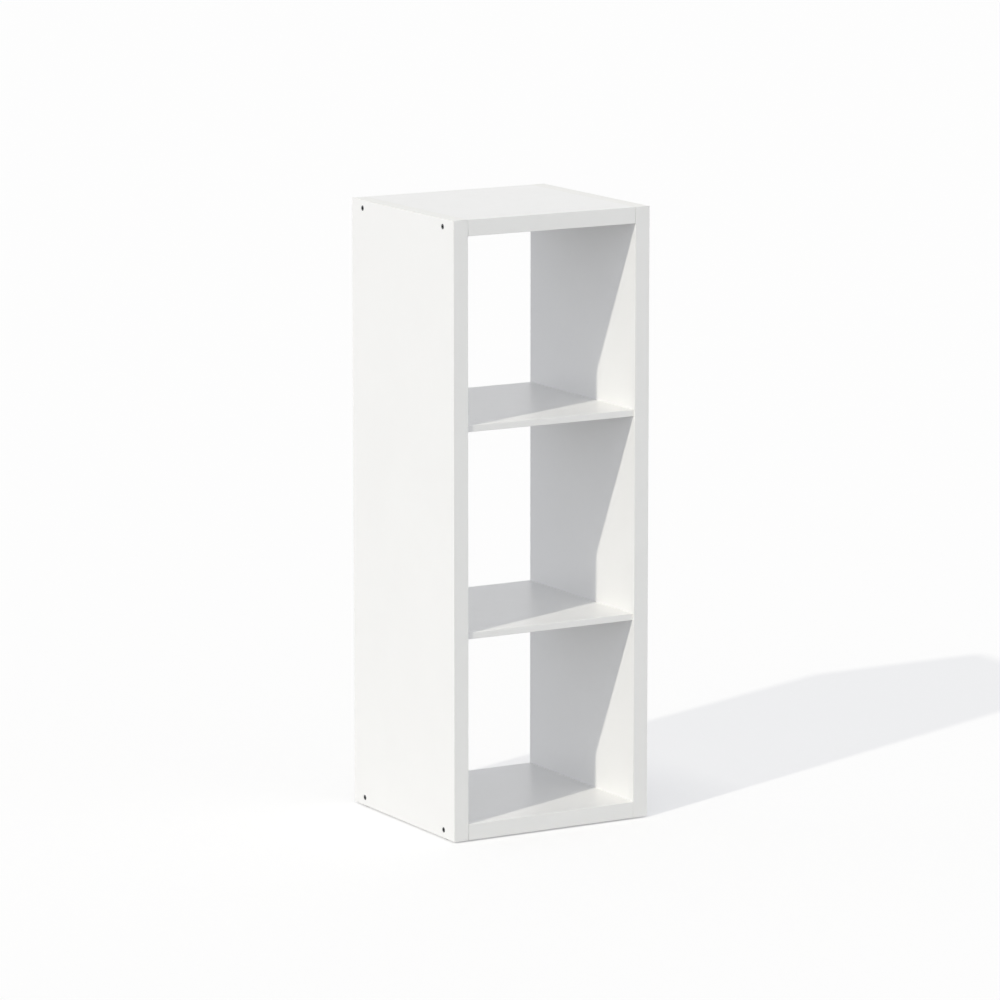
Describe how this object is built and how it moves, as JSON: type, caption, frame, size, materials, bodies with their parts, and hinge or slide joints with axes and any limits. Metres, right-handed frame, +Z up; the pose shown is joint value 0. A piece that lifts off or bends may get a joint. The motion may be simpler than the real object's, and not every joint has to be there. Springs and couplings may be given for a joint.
{
  "type": "open shelving unit",
  "caption": "Tall narrow white shelving unit, open at front and back: a thick hollow-core carcass with flush corner screws, thin shelves between its sides and low pads under it.",
  "frame": {"origin": "on the floor, under the middle of the unit's footprint", "axes": "+Z up, front of the unit towards -Y, left side (seen from the front) towards -X"},
  "size_m": [0.412, 0.378, 1.145],
  "materials": {
    "white_lacquered_fibreboard": "satin white lacquer on fibreboard",
    "white_abs_edging": "fine-grained white plastic edge band",
    "particleboard": "raw board",
    "kraft_paper_core": "unbleached paper",
    "zinc_plated_steel": "dull dark zinc plating",
    "beech_dowel": "raw beech",
    "grey_rubber": "matt rubber"
  },
  "bodies": {
    "root": {"bottom_panel_back_edge_band": "white_abs_edging", "bottom_panel_back_stile": "particleboard", "bottom_panel_front_edge_band": "white_abs_edging", "bottom_panel_front_stile": "particleboard", "bottom_panel_left_rail": "particleboard", "bottom_panel_lower_skin": "white_lacquered_fibreboard", "bottom_panel_paper_core": "kraft_paper_core", "bottom_panel_right_rail": "particleboard", "bottom_panel_upper_skin": "white_lacquered_fibreboard", "foot_pads": "grey_rubber", "left_corner_screws": "zinc_plated_steel", "left_side_back_edge_band": "white_abs_edging", "left_side_back_stile": "particleboard", "left_side_bottom_edge_band": "white_abs_edging", "left_side_bottom_rail": "particleboard", "left_side_front_edge_band": "white_abs_edging", "left_side_front_stile": "particleboard", "left_side_inner_skin": "white_lacquered_fibreboard", "left_side_lower_shelf_rail": "particleboard", "left_side_outer_skin": "white_lacquered_fibreboard", "left_side_paper_core": "kraft_paper_core", "left_side_top_edge_band": "white_abs_edging", "left_side_top_rail": "particleboard", "left_side_upper_shelf_rail": "particleboard", "lower_shelf_back_edge_band": "white_abs_edging", "lower_shelf_board": "white_lacquered_fibreboard", "lower_shelf_front_edge_band": "white_abs_edging", "right_corner_screws": "zinc_plated_steel", "right_side_back_edge_band": "white_abs_edging", "right_side_back_stile": "particleboard", "right_side_bottom_edge_band": "white_abs_edging", "right_side_bottom_rail": "particleboard", "right_side_front_edge_band": "white_abs_edging", "right_side_front_stile": "particleboard", "right_side_inner_skin": "white_lacquered_fibreboard", "right_side_lower_shelf_rail": "particleboard", "right_side_outer_skin": "white_lacquered_fibreboard", "right_side_paper_core": "kraft_paper_core", "right_side_top_edge_band": "white_abs_edging", "right_side_top_rail": "particleboard", "right_side_upper_shelf_rail": "particleboard", "shelf_dowels": "beech_dowel", "top_panel_back_edge_band": "white_abs_edging", "top_panel_back_stile": "particleboard", "top_panel_front_edge_band": "white_abs_edging", "top_panel_front_stile": "particleboard", "top_panel_left_rail": "particleboard", "top_panel_lower_skin": "white_lacquered_fibreboard", "top_panel_paper_core": "kraft_paper_core", "top_panel_right_rail": "particleboard", "top_panel_upper_skin": "white_lacquered_fibreboard", "upper_shelf_back_edge_band": "white_abs_edging", "upper_shelf_board": "white_lacquered_fibreboard", "upper_shelf_front_edge_band": "white_abs_edging"}
  },
  "joints": []
}
